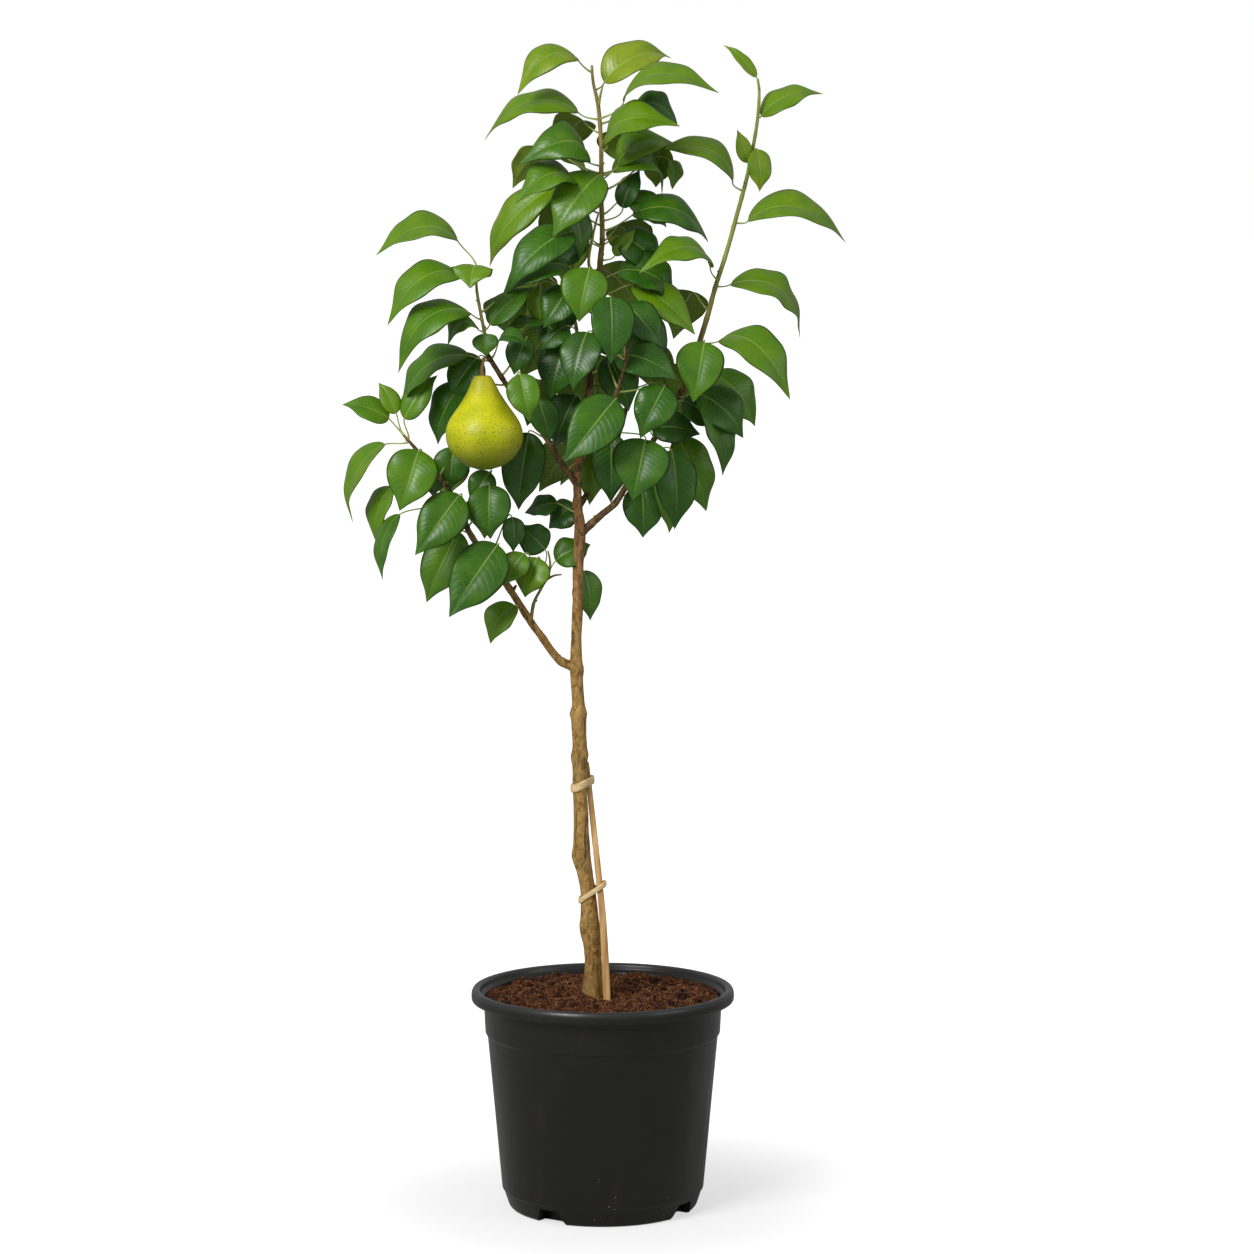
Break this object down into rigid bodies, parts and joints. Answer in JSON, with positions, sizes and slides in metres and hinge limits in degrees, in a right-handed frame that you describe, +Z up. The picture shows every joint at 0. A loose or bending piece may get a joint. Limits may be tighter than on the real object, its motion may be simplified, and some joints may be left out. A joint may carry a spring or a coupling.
{
  "type": "potted pear tree",
  "caption": "Young pear tree with a ripening fruit, tied to a short cane and rooted in potting mix in a round black nursery container.",
  "frame": {"origin": "centre of the container's flat underside, on the floor", "axes": "+Z up along the container's axis, -Y towards the front of the plant, +X to its right"},
  "size_m": [0.4953, 0.2674, 1.1506],
  "materials": {
    "container": "satin black moulded polypropylene",
    "potting_mix": "crumbly reddish-brown peat and coir",
    "bark": "dull olive-tan bark with small knots",
    "young_wood": "smooth green to red-brown young shoot",
    "cane": "dry split wood",
    "tie": "pale straw-coloured band",
    "fruit": "waxy yellow-green skin with fine dots",
    "leaf": "glossy green above, paler and matt beneath"
  },
  "bodies": {
    "root": {"pot": "container", "soil": "potting_mix", "trunk": "bark", "low_left_limb": "bark", "low_left_twig": "young_wood", "upper_left_limb": "bark", "left_top_shoot": "young_wood", "right_limb": "bark", "right_shoot": "young_wood", "front_limb": "bark", "back_limb": "bark", "back_low_limb": "bark", "stake": "cane", "tie_upper": "tie", "tie_lower": "tie", "pear": "fruit", "pear_stalk": "young_wood", "leaf_top_1": "leaf", "leaf_top_2": "leaf", "leaf_top_3": "leaf", "leaf_top_4": "leaf", "leaf_top_5": "leaf", "leaf_top_6": "leaf", "leaf_top_7": "leaf", "leaf_top_8": "leaf", "leaf_mid_1": "leaf", "leaf_mid_2": "leaf", "leaf_mid_3": "leaf", "leaf_mid_4": "leaf", "leaf_mid_5": "leaf", "leaf_mid_6": "leaf", "leaf_low_1": "leaf", "leaf_low_2": "leaf", "leaf_low_3": "leaf", "leaf_right_1": "leaf", "leaf_right_2": "leaf", "leaf_right_3": "leaf", "leaf_right_4": "leaf", "leaf_right_5": "leaf", "leaf_right_6": "leaf", "leaf_right_7": "leaf", "leaf_right_8": "leaf", "leaf_left_1": "leaf", "leaf_left_2": "leaf", "leaf_left_3": "leaf", "leaf_left_4": "leaf", "leaf_left_5": "leaf", "leaf_left_6": "leaf", "leaf_left_7": "leaf", "leaf_left_8": "leaf", "leaf_left_9": "leaf", "leaf_left_10": "leaf", "leaf_left_11": "leaf", "leaf_left_12": "leaf", "leaf_left_13": "leaf", "leaf_left_14": "leaf", "leaf_back_1": "leaf", "leaf_back_2": "leaf", "leaf_back_3": "leaf", "leaf_back_4": "leaf"}
  },
  "joints": []
}
